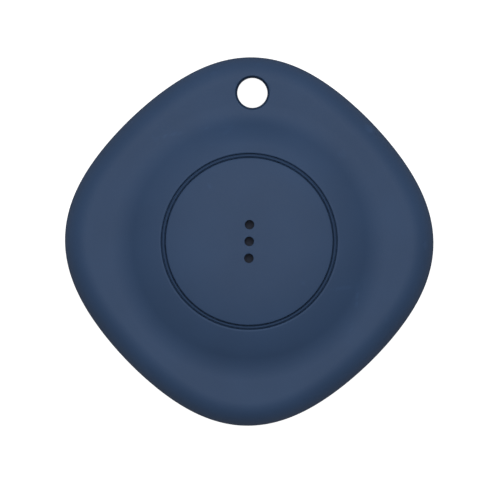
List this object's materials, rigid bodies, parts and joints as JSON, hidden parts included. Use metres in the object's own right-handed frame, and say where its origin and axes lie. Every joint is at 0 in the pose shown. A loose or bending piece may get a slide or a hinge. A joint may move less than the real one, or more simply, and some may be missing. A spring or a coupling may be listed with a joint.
{
  "type": "bluetooth tracker tag",
  "caption": "Rounded-diamond tracker tag with a central push button, sound holes, a key-ring hole and a coin cell behind a rear cover.",
  "frame": {"origin": "middle of the flat back, where the tag lies on a table", "axes": "+Z out of the front face, +Y towards the key-ring hole, +X to the right seen from the front"},
  "size_m": [0.0392, 0.0392, 0.0104],
  "materials": {
    "navy_shell": "soft matte moulded",
    "navy_button": "soft matte moulded",
    "navy_silicone": "matte silicone",
    "black_silicone": "matte silicone",
    "acoustic_cloth": "fine woven mesh",
    "black_plastic": "fine textured moulded",
    "natural_plastic": "satin moulded",
    "board_laminate": "green solder mask",
    "chip_epoxy": "moulded epoxy",
    "ceramic": "fired ceramic",
    "nickel_steel": "nickel plated",
    "red_insulation": "extruded wire insulation",
    "black_insulation": "extruded wire insulation",
    "piezo_brass": "rolled sheet",
    "cell_steel": "bright nickel plated",
    "cell_paste": "pressed powder",
    "foam": "fine closed-cell foam"
  },
  "bodies": {
    "rear_case": {"rear_cover": "navy_shell", "case_gasket": "black_silicone", "eyelet_gasket": "black_silicone", "cell_foam_pad": "foam"},
    "front_case": {"front_shell": "navy_shell", "button_membrane": "navy_silicone", "membrane_retainer": "black_plastic", "tact_switch_body": "black_plastic", "tact_switch_cover": "nickel_steel", "tact_switch_dome": "nickel_steel", "circuit_board": "board_laminate", "bluetooth_chip": "chip_epoxy", "radio_crystal": "nickel_steel", "clock_crystal": "nickel_steel", "chip_antenna": "ceramic", "power_inductor": "chip_epoxy", "capacitor_1": "ceramic", "capacitor_2": "ceramic", "capacitor_3": "ceramic", "capacitor_4": "ceramic", "capacitor_5": "ceramic", "capacitor_6": "ceramic", "battery_carrier": "black_plastic", "negative_contact": "nickel_steel", "positive_contact": "nickel_steel", "carrier_screw_1": "nickel_steel", "carrier_screw_2": "nickel_steel", "carrier_screw_3": "nickel_steel", "carrier_screw_4": "nickel_steel"},
    "button": {"button_cap": "navy_button", "acoustic_mesh": "acoustic_cloth", "button_actuator": "natural_plastic", "piezo_adhesive_ring": "black_silicone", "piezo_plate": "piezo_brass", "piezo_ceramic": "ceramic", "piezo_lead_red": "red_insulation", "piezo_lead_black": "black_insulation"},
    "switch_plunger": {"tact_switch_plunger": "black_plastic"},
    "coin_cell": {"cell_can": "cell_steel", "cell_grommet": "black_silicone", "cell_cap": "cell_steel", "cell_core": "cell_paste"}
  },
  "joints": [
    {"name": "case_release", "type": "slide", "parent": "rear_case", "child": "front_case", "axis": [0, 0, 1], "range_m": [0, 0.024]},
    {"name": "cell_release", "type": "slide", "parent": "rear_case", "child": "coin_cell", "axis": [0, 0, 1], "range_m": [0, 0.012]},
    {"name": "button_press", "type": "slide", "parent": "front_case", "child": "button", "axis": [0, 0, -1], "range_m": [0, 0.0003], "stiffness_N_per_m": 5000},
    {"name": "switch_plunger_travel", "type": "slide", "parent": "front_case", "child": "switch_plunger", "axis": [0, 0, -1], "range_m": [0, 0.0003], "deforming": ["tact_switch_dome"]}
  ],
  "couplings": [
    {"joint": "cell_release", "follows": "case_release", "ratio": 0.5},
    {"joint": "switch_plunger_travel", "follows": "button_press", "ratio": 1}
  ]
}
